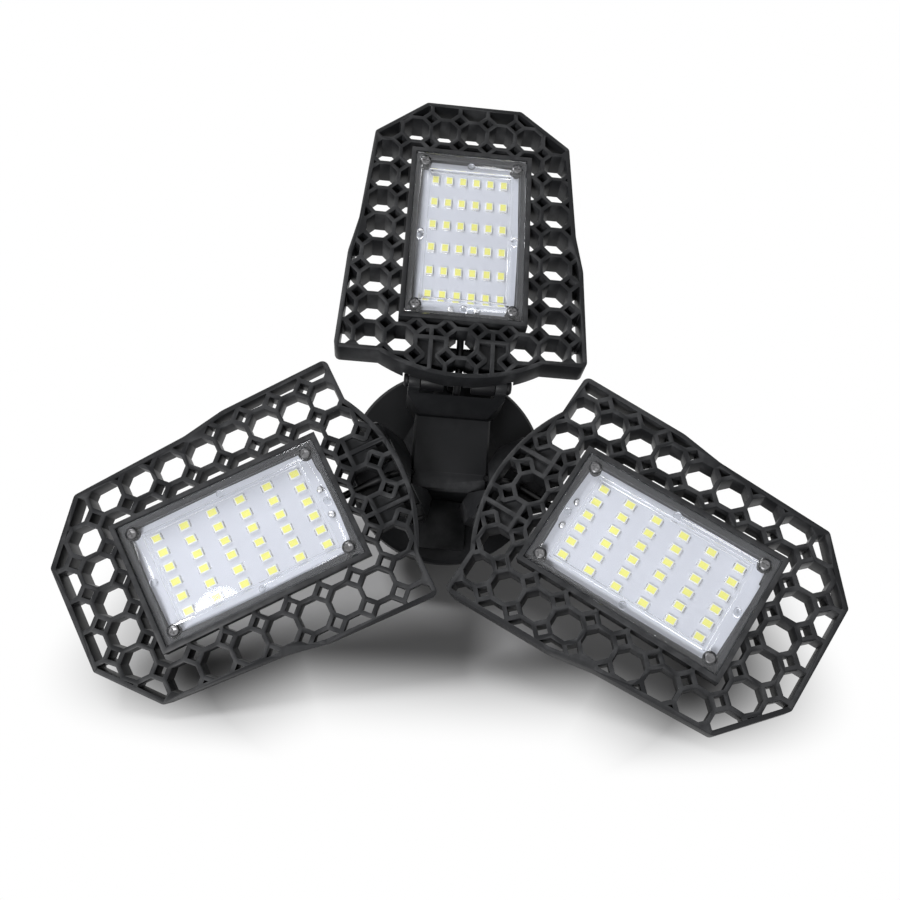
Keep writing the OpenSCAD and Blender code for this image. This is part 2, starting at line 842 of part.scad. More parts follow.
// Side view of an arm round the hinge axis: x outward, y towards the lit side
module arm_profile() {
    circle(r = knuckle_r);
    // The outer face leaves the round end at this angle and then slopes in to the block
    relief = 32;
    relief_length = 3.6;
    slope_x = 0.4;
    start = knuckle_r * [cos(relief), -sin(relief)];
    inner = hinge_radius - block_w / 2 + overlap;
    polygon([
        start,
        start + relief_length * [-sin(relief), -cos(relief)],
        [slope_x, -block_setback],
        [-inner, -block_setback - arm_root_h],
        [-inner, -block_setback],
        [-knuckle_r, -knuckle_r * 0.2],
        [-knuckle_r * cos(60), knuckle_r * sin(60)]]);
}

// Plan of an arm: x along the hinge, y outward from the hinge axis
module arm_plan() {
    root = hinge_radius - block_w / 2 + overlap;
    polygon([
        [-arm_root_half_w, -root], [-ear_out, -knuckle_r - 1], [-ear_out, knuckle_r + 1],
        [ear_out, knuckle_r + 1], [ear_out, -knuckle_r - 1], [arm_root_half_w, -root],
        [arm_root_half_w * 0.5, -hinge_radius], [-arm_root_half_w * 0.5, -hinge_radius]]);
}

// One arm with its two ears, drawn in the hinge frame at no tilt
module arm() {
    difference() {
        intersection() {
            rotate([90, 0, 90])
                linear_extrude(2 * ear_out + 2, center = true) arm_profile();
            translate([0, 0, -hinge_drop]) linear_extrude(2 * hinge_drop) arm_plan();
        }
        translate([-ear_in, -knuckle_r - sweep_gap, -hinge_drop])
            cube([2 * ear_in, hinge_radius, 2 * hinge_drop]);
        both_sides()
            translate([ear_in - 1, 0, 0])
                rotate([0, 90, 0])
                    cylinder(r = hinge_screw_r + hinge_fit, h = ear_t + 2);
    }
}

module hub_body() {
    color(plastic_black)
    difference() {
        union() {
            translate([0, 0, block_end_z])
                slab(block_w, block_w, flange_inner_z - block_end_z);
            flange();
            for (i = [0 : 2]) on_hinge(i) arm();
            translate([-lug_w / 2, lug_near, flange_face_z - lug_h])
                cube([lug_w, lug_far - lug_near, lug_h + overlap]);
            at_posts(flange_inner_z - overlap)
                cylinder(r = board_screw_r + 1.8, h = post_h + overlap);
        }
        translate([0, 0, block_end_z - 1])
            slab(cavity_w, cavity_w, flange_back_z - block_end_z);
        translate([0, 0, cover_face_z - hinge_radius])
            slab(block_w + 2 * plug_gap, block_w + 2 * plug_gap, cover_t + hinge_radius);
        lead_bores();
        at_posts(flange_inner_z)
            cylinder(r = board_screw_r, h = post_h + 1, $fn = 24);
        at_housing_posts(flange_face_z - 1) {
            cylinder(r = housing_screw_r + screw_gap, h = flange_t, $fn = 32);
            cylinder(r = housing_screw_r + 1, h = 1 + housing_head_h + 0.1, $fn = 32);
        }
    }
}

// Holes that the hub's leads pass through, from the hinges into the block
module lead_bores() {
    for (i = [0 : 2])
        on_hinge(i) rod([0, 0, 0], lead_bore_reach * lead_end, lead_bore_r);
}

// Copies children to the posts under the driver board, at the height z
module at_posts(z) {
    for (turn = post_turns)
        rotate([0, 0, turn]) translate([post_ring, 0, z]) children();
}

// Copies children to the posts that join the housing to the flange, at the height z
module at_housing_posts(z) {
    for (turn = heading)
        rotate([0, 0, turn]) translate([housing_post_ring, 0, z]) children();
}

// Round flange with a bevelled face and an open back
module flange() {
    rotate_extrude($fn = 96)
        polygon([
            [0, flange_face_z], [flange_r - flange_bevel, flange_face_z],
            [flange_r, flange_face_z + flange_bevel], [flange_r, flange_back_z],
            [housing_r - housing_wall, flange_back_z], [housing_r - housing_wall, flange_inner_z],
            [0, flange_inner_z]]);
}

module hub_cover() {
    plug_w = cavity_w - 2 * plug_gap;
    color(plastic_black)
    difference() {
        union() {
            translate([0, 0, block_end_z])
                rotate([180, 0, 0])
                    bevelled_slab(block_w, block_w, cover_t, cover_bevel);
            translate([0, 0, block_end_z - overlap])
                slab(plug_w, plug_w, plug_depth + overlap);
        }
        lead_bores();
    }
}

// Points of the bowl from its side to its neck, pulled in by d
function bowl(d) = [
    for (k = [0 : 8])
        let (angle = 90 * k / 8)
        [neck_r - d + (housing_r - neck_r) * cos(angle),
         side_top_z + (-neck_h - 0.6 * d - side_top_z) * sin(angle)]];

// Height of the bowl's outside at the radius r
function bowl_z(r) = side_top_z
    + (-neck_h - side_top_z) * sqrt(1 - pow((r - neck_r) / (housing_r - neck_r), 2));

function reversed(list) = [for (i = [len(list) - 1 : -1 : 0]) list[i]];

module driver_housing() {
    post_top = bowl_z(housing_post_ring + housing_post_r) - 0.5;
    color(plastic_black)
    difference() {
        union() {
            difference() {
                rotate_extrude($fn = 96) polygon(housing_profile());
                for (k = [0 : vent_count - 1])
                    rotate([0, 0, (k + 0.5) * 360 / vent_count]) vent_slot();
            }
            at_housing_posts(flange_inner_z)
                cylinder(r = housing_post_r, h = post_top - flange_inner_z);
        }
        at_housing_posts(flange_inner_z - 1)
            cylinder(r = housing_screw_r, h = housing_pilot_h, $fn = 24);
        translate([-shell_inner_r - 1, -mains_r - 0.4, notch_z])
            cube([shell_inner_r - spigot_bore_r + 2, 2 * (mains_r + 0.4), shell_h]);
    }
}

// Half section of the housing: wall, bowl, neck and the spigot inside the screw base
function housing_profile() = concat(
    [[housing_r, flange_back_z]],
    bowl(0),
    [[neck_r, 0], [spigot_r, 0], [spigot_r, plug_z], [spigot_bore_r, plug_z],
     [spigot_bore_r, -neck_h]],
    reversed(bowl(housing_wall)),
    [[housing_r - housing_wall, flange_back_z]]);

// An air slot that runs up the bowl
module vent_slot() {
    low = side_top_z + vent_margin;
    high = -neck_h - 3 * vent_margin;
    translate([neck_r + 6, -vent_w / 2, low]) cube([housing_r, vent_w, high - low]);
}

module housing_screws() {
    color(metal_dark)
    at_housing_posts(flange_face_z + housing_head_h + 0.1)
        rotate([180, 0, 0])
            screw(housing_screw_r, flange_face_t + housing_pilot_h - 4, housing_screw_r + 0.9,
                  housing_head_h);
}

// ---------- Screw base ----------

module base_collar() {
    color(metal_bright)
    difference() {
        cylinder(r = collar_r, h = collar_h, $fn = 96);
        translate([0, 0, -1]) cylinder(r = shell_inner_r, h = collar_h + 2, $fn = 96);
    }
}

// Height of one ring of the thread
function ring_z(k) = collar_h + (shell_h - collar_h) * k / thread_rings;

// Radius of the rounded thread, which fades out at both ends of the shell
function thread_r(z, angle) = thread_root_r
    + thread_depth * (1 + cos(360 * z / thread_pitch - angle)) / 2
    * min(1, (z - collar_h) / thread_fade, (shell_h - z) / thread_fade);

// One ring of points
function ring(radii, z) = [
    for (j = [0 : thread_sides - 1])
        let (angle = 360 * j / thread_sides)
        [radii[j] * cos(angle), radii[j] * sin(angle), z]];

// Two triangles for each side between one ring of points and the next
function band(first, second) = [
    for (j = [0 : thread_sides - 1])
        let (
            a = first * thread_sides + j,
            b = first * thread_sides + (j + 1) % thread_sides,
            c = second * thread_sides + (j + 1) % thread_sides,
            d = second * thread_sides + j
        )
        each [[a, c, b], [a, d, c]]];

module base_shell() {
    inner = [for (j = [1 : thread_sides]) shell_inner_r];
    points = concat(
        [for (k = [0 : thread_rings])
            each ring([for (j = [0 : thread_sides - 1])
                thread_r(ring_z(k), 360 * j / thread_sides)], ring_z(k))],
        ring(inner, shell_h),
        ring(inner, collar_h));
    last = thread_rings + 2;
    color(metal_bright)
    polyhedron(points, concat(
        [for (k = [0 : last - 1]) each band(k, k + 1)],
        band(last, 0)));
}

module base_insulator() {
    color([0.1, 0.1, 0.12])
    rotate_extrude($fn = 96)
        polygon([
            [rivet_r, plug_z], [spigot_r, plug_z], [spigot_r, shell_h],
            [spigot_r - 0.6, shell_h + 0.5], [contact_r + 1.2, shell_h + insulator_h],
            [rivet_r, shell_h + insulator_h]]);
}

module base_contact() {
    seat = shell_h + insulator_h;
    color(metal_bright) {
        translate([0, 0, rivet_end_z]) cylinder(r = rivet_r, h = seat - rivet_end_z + overlap);
        translate([0, 0, seat]) cylinder(r = contact_r, h = contact_h / 2);
        translate([0, 0, seat + contact_h / 2])
            cylinder(r1 = contact_r, r2 = contact_r * 0.6, h = contact_h / 2);
    }
}

// ---------- Driver ----------

// Moves children to a place on top of the driver board
module on_board(place) {
    translate([place[0], place[1], driver_top_z]) children();
}

module driver_board() {
    color([0.1, 0.35, 0.2])
    difference() {
        translate([0, 0, driver_z]) cylinder(r = driver_r, h = driver_t, $fn = 96);
        at_posts(driver_z - 1)
            cylinder(r = board_screw_r + screw_gap, h = driver_t + 2, $fn = 32);
    }
}

module board_screws() {
    color(metal_dark)
    at_posts(driver_top_z)
        screw(board_screw_r, driver_t + post_h - 0.5, 2 * board_screw_r, board_screw_r);
}

// Ferrite core round a taped winding, on a bobbin's foot
module transformer() {
    foot_h = 2;
    core_w = transformer_w * 0.36;
    winding_h = transformer_h - foot_h - 1.5;
    color([0.85, 0.7, 0.2])
    on_board(transformer_at) {
        slab(transformer_w, transformer_l * 0.9, foot_h);
        slab(core_w, transformer_l, transformer_h);
        translate([0, 0, foot_h - 0.1])
            slab(transformer_w * 0.92, transformer_l * 0.66, winding_h);
    }
}

module choke() {
    color([0.72, 0.4, 0.18])
    on_board(choke_at)
        translate([0, 0, choke_winding_r])
            rotate_extrude() translate([choke_r, 0]) circle(r = choke_winding_r, $fn = 24);
}

module bulk_capacitor() {
    neck = 0.5;
    color([0.12, 0.16, 0.32])
    on_board(bulk_at)
        rotate_extrude()
            polygon([
                [0, 0], [bulk_r, 0], [bulk_r, 1.2], [bulk_r - neck, 1.7], [bulk_r, 2.2],
                [bulk_r, bulk_h - 0.6], [bulk_r - 0.6, bulk_h], [0, bulk_h]]);
}

module film_capacitor() {
    color([0.85, 0.75, 0.15])
    on_board(film_at) bevelled_slab(film_w, film_l, film_h, 0.8);
}

// A block on four bent legs
module rectifier() {
    leg_w = 0.8;
    leg_h = 1;
    leg_in = 1.5;
    lift = 0.3;
    color([0.08, 0.08, 0.08])
    on_board(rectifier_at) {
        translate([0, 0, lift])
            bevelled_slab(rectifier_w, rectifier_l, rectifier_h - lift, 0.5);
        four_corners(rectifier_w / 2 - leg_in, rectifier_l / 2 - leg_in / 2)
            slab(leg_w, leg_w, leg_h);
    }
}

// A banded body on two bent leads
module fuse_resistor() {
    lift = 0.6;
    reach = fuse_l / 2 + 1.5;
    color([0.25, 0.55, 0.3])
    on_board(fuse_at) {
        rod([-fuse_l / 2, 0, fuse_r + lift], [fuse_l / 2, 0, fuse_r + lift], fuse_r);
        bent_rod([[-reach, 0, 0], [-reach, 0, fuse_r + lift], [reach, 0, fuse_r + lift],
                  [reach, 0, 0]], 0.35);
    }
}

module connector_block() {
    color([0.92, 0.92, 0.9])
    translate([0, 0, driver_z])
        rotate([180, 0, 0])
            bevelled_slab(connector_w, connector_w, connector_h, 0.6);
}

// Three leads, each from the ball on a hinge axis to the connector block
module hub_leads() {
    color([0.1, 0.1, 0.1])
    for (i = [0 : 2])
        on_hinge(i) {
            rotate([10, 20, 30]) sphere(lead_ball_r);
            rod([0, 0, 0], lead_end, lead_r);
        }
}

module live_wire() {
    color([0.1, 0.1, 0.1])
    bent_rod([[live_at[0], live_at[1], driver_top_z], [live_at[0], live_at[1], -neck_h],
              [0, 0, plug_z / 2], [0, 0, rivet_end_z]], mains_r);
}

module neutral_wire() {
    inside = spigot_bore_r - mains_r - 0.3;
    notch_mid = notch_z + mains_r + 0.8;
    color([0.95, 0.95, 0.95])
    bent_rod([[neutral_at[0], neutral_at[1], driver_top_z],
              [neutral_at[0], neutral_at[1], -neck_h],
              [-inside, 0, notch_z / 2], [-inside, 0, notch_mid],
              [-shell_inner_r + 0.15, 0, notch_mid]], mains_r);
}

on_panel(0) panel_frame();  // panel_a_frame
on_panel(0) panel_lens();  // panel_a_lens
on_panel(0) panel_lens_seal();  // panel_a_lens_seal
on_panel(0) panel_led_board();  // panel_a_led_board
on_panel(0) panel_led_packages();  // panel_a_led_packages
on_panel(0) panel_led_phosphors();  // panel_a_led_phosphors
on_panel(0) panel_lens_screws();  // panel_a_lens_screws
on_panel(0) panel_bracket();  // panel_a_bracket
on_panel(0) panel_bracket_screws();  // panel_a_bracket_screws
on_panel(0) panel_hinge_screws();  // panel_a_hinge_screws
on_panel(0) panel_lead();  // panel_a_lead
on_panel(1) panel_frame();  // panel_b_frame
on_panel(1) panel_lens();  // panel_b_lens
on_panel(1) panel_lens_seal();  // panel_b_lens_seal
on_panel(1) panel_led_board();  // panel_b_led_board
on_panel(1) panel_led_packages();  // panel_b_led_packages
on_panel(1) panel_led_phosphors();  // panel_b_led_phosphors
on_panel(1) panel_lens_screws();  // panel_b_lens_screws
on_panel(1) panel_bracket();  // panel_b_bracket
on_panel(1) panel_bracket_screws();  // panel_b_bracket_screws
on_panel(1) panel_hinge_screws();  // panel_b_hinge_screws
on_panel(1) panel_lead();  // panel_b_lead
on_panel(2) panel_frame();  // panel_c_frame
on_panel(2) panel_lens();  // panel_c_lens
on_panel(2) panel_lens_seal();  // panel_c_lens_seal
on_panel(2) panel_led_board();  // panel_c_led_board
on_panel(2) panel_led_packages();  // panel_c_led_packages
on_panel(2) panel_led_phosphors();  // panel_c_led_phosphors
on_panel(2) panel_lens_screws();  // panel_c_lens_screws
on_panel(2) panel_bracket();  // panel_c_bracket
on_panel(2) panel_bracket_screws();  // panel_c_bracket_screws
on_panel(2) panel_hinge_screws();  // panel_c_hinge_screws
on_panel(2) panel_lead();  // panel_c_lead
hub_body();
hub_cover();
driver_housing();
housing_screws();
base_collar();
base_shell();
base_insulator();
base_contact();
driver_board();
board_screws();
transformer();
choke();
bulk_capacitor();
film_capacitor();
rectifier();
fuse_resistor();
connector_block();
hub_leads();
live_wire();
neutral_wire();
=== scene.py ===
"""Looks of a folding three-panel ceiling light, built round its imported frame.

Lengths are in metres. A panel's own pieces are drawn in its hinge frame: x along the hinge axis,
y outward from the hub, z towards the lit side.
"""

import json
import math

import bpy
from mathutils import Matrix, Vector


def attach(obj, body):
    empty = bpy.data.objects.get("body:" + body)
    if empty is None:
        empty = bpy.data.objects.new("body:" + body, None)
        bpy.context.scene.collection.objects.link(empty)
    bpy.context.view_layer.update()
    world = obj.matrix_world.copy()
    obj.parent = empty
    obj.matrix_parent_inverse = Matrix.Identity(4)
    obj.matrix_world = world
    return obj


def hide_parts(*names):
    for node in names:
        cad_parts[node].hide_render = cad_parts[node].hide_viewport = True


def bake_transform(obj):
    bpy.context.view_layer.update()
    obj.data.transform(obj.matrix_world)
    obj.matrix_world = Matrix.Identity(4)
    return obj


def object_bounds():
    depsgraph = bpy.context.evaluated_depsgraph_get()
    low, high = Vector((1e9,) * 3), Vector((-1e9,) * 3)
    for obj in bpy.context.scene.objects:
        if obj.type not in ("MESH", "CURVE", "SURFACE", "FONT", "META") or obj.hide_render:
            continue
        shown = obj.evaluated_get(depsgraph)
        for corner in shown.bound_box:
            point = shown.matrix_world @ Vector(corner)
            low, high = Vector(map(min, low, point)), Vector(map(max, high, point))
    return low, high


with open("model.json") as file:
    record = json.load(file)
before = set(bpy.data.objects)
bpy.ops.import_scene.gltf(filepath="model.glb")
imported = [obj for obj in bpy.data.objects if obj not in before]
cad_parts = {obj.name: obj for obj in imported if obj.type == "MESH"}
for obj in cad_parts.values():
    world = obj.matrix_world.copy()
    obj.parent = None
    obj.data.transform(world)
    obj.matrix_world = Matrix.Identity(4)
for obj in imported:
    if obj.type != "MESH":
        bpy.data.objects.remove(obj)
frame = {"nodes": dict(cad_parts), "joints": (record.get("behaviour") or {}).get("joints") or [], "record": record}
cad_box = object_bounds()

MM = 0.001
NODES = frame["nodes"]
SLOT_OF = {row["node"]: row["material_slot"] for row in frame["record"]["subparts"]}
PANELS = ("a", "b", "c")

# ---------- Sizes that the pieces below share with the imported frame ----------

FORWARD_LIMIT = -14          # degrees, the tilt of every panel at its forward stop
WINDOW_MID_Y = 56.6 * MM     # from the hinge axis to the middle of the window
BOARD_TOP_Z = 6.6 * MM
LED_COLUMNS = 6
LED_ROWS = 6
LED_PITCH_X = 5.3 * MM
LED_PITCH_Y = 10.1 * MM
LED_W = 2.8 * MM
LED_L = 3.5 * MM
LEAD_R = 1.3 * MM
LEAD_Z = 2.4 * MM            # height of the lead over the hinge axis, in the panel's back
LEAD_END_Y = 22.4 * MM
CORE_R = 0.55 * MM
SOLDER_X = 4.4 * MM
SOLDER_Y = 25.85 * MM
CONNECTOR_PIN = Vector((0, -16.8, -34.3)) * MM
COLLAR_R = 13.2 * MM
COLLAR_H = 3.5 * MM
SHELL_TOP = 22 * MM
THREAD_CREST_R = 13.05 * MM
THREAD_DEPTH = 0.75 * MM
THREAD_PITCH = 3.63 * MM
SHELL_INNER_R = 11.9 * MM

# ---------- Camera of the photograph, in the row frame ----------

CAMERA_AT = Vector((-21.02, 74.63, -418.4)) * MM
CAMERA_LOOK = Vector((0.05791, -0.2125, 0.97544)).normalized()
CAMERA_UP = Vector((-0.08075, -0.97487, -0.20758)).normalized()
FOCAL_PIXELS = 970.8
PHOTO_PIXELS = 900
SENSOR = 36.0


def make_camera():
    """The photograph's camera, set up for a square frame, with its middle unshifted."""
    data = bpy.data.cameras.new("camera")
    data.sensor_width = SENSOR
    data.lens = SENSOR * FOCAL_PIXELS / PHOTO_PIXELS
    data.clip_start = 0.01
    data.clip_end = 20
    camera = bpy.data.objects.new("camera", data)
    bpy.context.scene.collection.objects.link(camera)
    across = CAMERA_LOOK.cross(CAMERA_UP).normalized()
    upward = across.cross(CAMERA_LOOK)
    turn = Matrix((across, upward, -CAMERA_LOOK)).transposed().to_4x4()
    camera.matrix_world = Matrix.Translation(CAMERA_AT) @ turn
    bpy.context.scene.camera = camera


# ---------- Floor that the light lies on, with its back and base down ----------

FLOOR_UP = Vector((-0.0974, -0.8178, -0.5675)).normalized()
FLOOR_SIZE = 6.0
FLOOR_COLOUR = (0.45, 0.45, 0.455, 1.0)
PAINTED_SHADOW_HALF_SIZE = (0.146, 0.097, 1.0)   # half width and half depth of the painted shadow zone, the part that isn't white
FLOOR_BACK = 0.089                  # from the foremost resting point to the middle of that part
FLOOR_TURN = -4.4                   # degrees that this part is turned on the floor
PAINTED_SHADOW_FADE = (0.66, 1.0)            # share of that part's reach over which it turns white
PAINTED_SHADOW_FRONT_FADE = (0.002, 0.056)         # distance before the lines below over which it turns white
PLANE_ROUNDS = 4                    # rounds in which the floor settles under the lowest points
# Lines on the floor behind the lower edges of the two front panels and before the hub, left to right; the painted
# shadow reaches a little way before them
FLOOR_LINES = (((-0.0924, -0.0662), (-0.0179, 0.0)), ((-0.02, -0.03), (0.02, -0.03)),
               ((0.0209, 0.0101), (0.1013, -0.0662)))


def resting_plane():
    """Normal and height of the floor under the lowest points of panel b, panel c and the hub."""
    groups = []
    for body in ("panel_b", "panel_c", "hub"):
        names = frame["record"]["behaviour"]["bodies"][body]
        groups.append([v.co.copy() for name in names for v in NODES[name].data.vertices])
    up = FLOOR_UP
    for _ in range(PLANE_ROUNDS):
        low = [min(points, key=up.dot) for points in groups]
        normal = (low[1] - low[0]).cross(low[2] - low[0]).normalized()
        up = normal if normal.dot(FLOOR_UP) > 0 else -normal
    return up, min(up.dot(point) for point in low)


def floor_axes(up):
    """Directions on the floor: across the picture and away from the camera."""
    across = CAMERA_LOOK.cross(up).normalized()
    return across, up.cross(across).normalized()


def make_floor(up, height):
    """The floor, with its own middle under its painted shadow zone, the part that isn't white."""
    mesh = bpy.data.meshes.new("floor")
    half = FLOOR_SIZE / 2
    mesh.from_pydata(
        [(-half, -half, 0), (half, -half, 0), (half, half, 0), (-half, half, 0)], [], [(0, 1, 2, 3)])
    floor = bpy.data.objects.new("floor", mesh)
    bpy.context.scene.collection.objects.link(floor)
    across, away = floor_axes(up)
    sides_x, sides_y, sides_z = zip(*cad_box)
    corners = [Vector((x, y, z)) for x in sides_x for y in sides_y for z in sides_z]
    middle = (min(map(across.dot, corners)) + max(map(across.dot, corners))) / 2
    near = min(v.co.dot(away) for name in NODES for v in NODES[name].data.vertices)
    turn = Matrix((across, away, up)).transposed().to_4x4()
    turn = turn @ Matrix.Rotation(math.radians(FLOOR_TURN), 4, "Z")
    at = up * height + across * middle + away * (near + FLOOR_BACK)
    floor.matrix_world = Matrix.Translation(at) @ turn
    mesh.materials.append(floor_material())


# ---------- Node helpers ----------


def rgba(red, green, blue):
    return (red, green, blue, 1.0)


class Tree:
    """A node tree with short calls for adding and joining nodes."""

    def __init__(self, tree):
        self.tree = tree

    def add(self, kind, values=None, **settings):
        node = self.tree.nodes.new(kind)
        for key, value in settings.items():
            setattr(node, key, value)
        for socket, value in (values or {}).items():
            if isinstance(value, bpy.types.NodeSocket):
                self.tree.links.new(value, node.inputs[socket])
            else:
                node.inputs[socket].default_value = value
        return node

    def mix(self, factor, first, second, blend="MIX"):
        node = self.add("ShaderNodeMix", data_type="RGBA", blend_type=blend)
        for socket, value in ((0, factor), (6, first), (7, second)):
            if isinstance(value, bpy.types.NodeSocket):
                self.tree.links.new(value, node.inputs[socket])
            else:
                node.inputs[socket].default_value = value
        return node.outputs[2]

    def ramp(self, value, low, high, dark=0.0, light=1.0):
        """Maps value from low..high to dark..light."""
        node = self.add("ShaderNodeMapRange", {0: value, 1: low, 2: high, 3: dark, 4: light})
        return node.outputs[0]

    def noise(self, vector, scale, detail=2.0, rough=0.5):
        node = self.add("ShaderNodeTexNoise",
                        {"Vector": vector, "Scale": scale, "Detail": detail, "Roughness": rough})
        return node.outputs[0]


def new_material(name):
    material = bpy.data.materials.new(name)
    material.use_nodes = True
    material.node_tree.nodes.clear()
    tree = Tree(material.node_tree)
    shader = tree.add("ShaderNodeBsdfPrincipled")
    output = tree.add("ShaderNodeOutputMaterial")
    material.node_tree.links.new(shader.outputs[0], output.inputs[0])
    return material, tree, shader


def new_group(name, inputs, outputs):
    """An empty shader node group with named sockets: {name: default} and {name: kind}."""
    group = bpy.data.node_groups.new(name, "ShaderNodeTree")
    for label, default in inputs.items():
        kind = "NodeSocketColor" if isinstance(default, tuple) else "NodeSocketFloat"
        socket = group.interface.new_socket(label, in_out="INPUT", socket_type=kind)
        socket.default_value = default
    for label, kind in outputs.items():
        group.interface.new_socket(label, in_out="OUTPUT", socket_type=kind)
    tree = Tree(group)
    entry = tree.add("NodeGroupInput")
    leave = tree.add("NodeGroupOutput")
    return group, tree, entry, leave


# ---------- Shared effects ----------


def make_moulded_skin():
    """Fine grain and slow mottle of moulded plastic or a coated part."""
    group, tree, entry, leave = new_group(
        "moulded_skin",
        {"Colour": rgba(0.5, 0.5, 0.5), "Roughness": 0.5, "Grain Scale": 1500.0,
         "Grain Depth": 0.1, "Mottle": 0.1},
        {"Colour": "NodeSocketColor", "Roughness": "NodeSocketFloat", "Normal": "NodeSocketVector"})
    place = tree.add("ShaderNodeTexCoord").outputs["Object"]
    grain = tree.noise(place, entry.outputs["Grain Scale"], detail=3.0)
    cloud = tree.noise(place, 45.0, detail=3.0, rough=0.6)
    shift = tree.ramp(cloud, 0.3, 0.7, -1.0, 1.0)
    swing = tree.add("ShaderNodeMath", {0: shift, 1: entry.outputs["Mottle"]}, operation="MULTIPLY")
    gain = tree.add("ShaderNodeMath", {0: swing.outputs[0], 1: 1.0}, operation="ADD")
    tinted = tree.add("ShaderNodeVectorMath",
                      {0: entry.outputs["Colour"], 1: gain.outputs[0]}, operation="MULTIPLY")
    rough = tree.add("ShaderNodeMath",
                     {0: entry.outputs["Roughness"], 1: gain.outputs[0]}, operation="MULTIPLY")
    bump = tree.add("ShaderNodeBump", {"Strength": entry.outputs["Grain Depth"],
                                       "Distance": 0.0002, "Height": grain})
    tree.tree.links.new(tinted.outputs[0], leave.inputs["Colour"])
    tree.tree.links.new(rough.outputs[0], leave.inputs["Roughness"])
    tree.tree.links.new(bump.outputs[0], leave.inputs["Normal"])
    return group


def make_painted_edge_highlight():
    """Mask of the sharp outer edges for a painted highlight, broken up a little, from 0 to 1."""
    group, tree, entry, leave = new_group(
        "painted_edge_highlight", {"Amount": 0.5}, {"Mask": "NodeSocketFloat"})
    place = tree.add("ShaderNodeTexCoord").outputs["Object"]
    point = tree.add("ShaderNodeNewGeometry").outputs["Pointiness"]
    edge_highlight = tree.ramp(point, 0.52, 0.60)
    broken = tree.ramp(tree.noise(place, 260.0, detail=3.0), 0.35, 0.65, 0.35, 1.0)
    mask = tree.add("ShaderNodeMath", {0: edge_highlight, 1: broken}, operation="MULTIPLY")
    scaled = tree.add("ShaderNodeMath",
                      {0: mask.outputs[0], 1: entry.outputs["Amount"]}, operation="MULTIPLY")
    tree.tree.links.new(scaled.outputs[0], leave.inputs["Mask"])
    return group


def make_turned_lines():
    """Fine uneven streaks of drawn or plated metal."""
    group, tree, entry, leave = new_group(
        "turned_lines",
        {"Colour": rgba(0.6, 0.6, 0.6), "Roughness": 0.3, "Spread": 0.15, "Depth": 0.1},
        {"Colour": "NodeSocketColor", "Roughness": "NodeSocketFloat", "Normal": "NodeSocketVector"})
    place = tree.add("ShaderNodeTexCoord").outputs["Object"]
    squeezed = tree.add("ShaderNodeMapping", {"Vector": place, "Scale": (300.0, 300.0, 4000.0)})
    lines = tree.noise(squeezed.outputs[0], 1.0, detail=4.0, rough=0.65)
    stain = tree.noise(place, 160.0, detail=4.0)
    shift = tree.ramp(lines, 0.3, 0.7, -1.0, 1.0)
    swing = tree.add("ShaderNodeMath", {0: shift, 1: entry.outputs["Spread"]}, operation="MULTIPLY")
    rough = tree.add("ShaderNodeMath",
                     {0: entry.outputs["Roughness"], 1: swing.outputs[0]}, operation="ADD")
    dulled = tree.mix(tree.ramp(stain, 0.45, 0.7, 0.0, 0.35), entry.outputs["Colour"],
                      rgba(0.35, 0.34, 0.33), "MULTIPLY")
    bump = tree.add("ShaderNodeBump", {"Strength": entry.outputs["Depth"],
                                       "Distance": 0.0001, "Height": lines})
    tree.tree.links.new(dulled, leave.inputs["Colour"])
    tree.tree.links.new(rough.outputs[0], leave.inputs["Roughness"])
    tree.tree.links.new(bump.outputs[0], leave.inputs["Normal"])
    return group


SKIN = make_moulded_skin()
EDGE_HIGHLIGHT = make_painted_edge_highlight()
LINES = make_turned_lines()

# ---------- Materials, one for each finish ----------


def skin_material(name, colour, rough, specular, grain=0.1, scale=1500.0, mottle=0.1,
                  edge_highlight=0.0, edge_highlight_colour=None, coat=0.0):
    """A moulded or coated part, with a lighter painted highlight along its sharp edges where the edge highlight
    amount is above 0.
    """
    material, tree, shader = new_material(name)
    skin = tree.add("ShaderNodeGroup", node_tree=SKIN)
    values = {"Colour": rgba(*colour), "Roughness": rough, "Grain Scale": scale,
              "Grain Depth": grain, "Mottle": mottle}
    for label, value in values.items():
        skin.inputs[label].default_value = value
    colour_out = skin.outputs["Colour"]
    # Painted highlight: a lighter colour mixed in along the sharp edges.
    if edge_highlight > 0:
        edge_highlight_node = tree.add("ShaderNodeGroup", node_tree=EDGE_HIGHLIGHT)
        edge_highlight_node.inputs["Amount"].default_value = edge_highlight
        colour_out = tree.mix(edge_highlight_node.outputs["Mask"], colour_out, rgba(*edge_highlight_colour))
    links = tree.tree.links
    links.new(colour_out, shader.inputs["Base Color"])
    links.new(skin.outputs["Roughness"], shader.inputs["Roughness"])
    links.new(skin.outputs["Normal"], shader.inputs["Normal"])
    shader.inputs["Specular IOR Level"].default_value = specular
    shader.inputs["Coat Weight"].default_value = coat
    return material


def metal_material(name, colour, rough, spread=0.12):
    """Bare or plated metal with fine streaks."""
    material, tree, shader = new_material(name)
    lines = tree.add("ShaderNodeGroup", node_tree=LINES)
    values = {"Colour": rgba(*colour), "Roughness": rough, "Spread": spread}
    for label, value in values.items():
        lines.inputs[label].default_value = value
    links = tree.tree.links
    links.new(lines.outputs["Colour"], shader.inputs["Base Color"])
    links.new(lines.outputs["Roughness"], shader.inputs["Roughness"])
    links.new(lines.outputs["Normal"], shader.inputs["Normal"])
    shader.inputs["Metallic"].default_value = 1.0
    return material


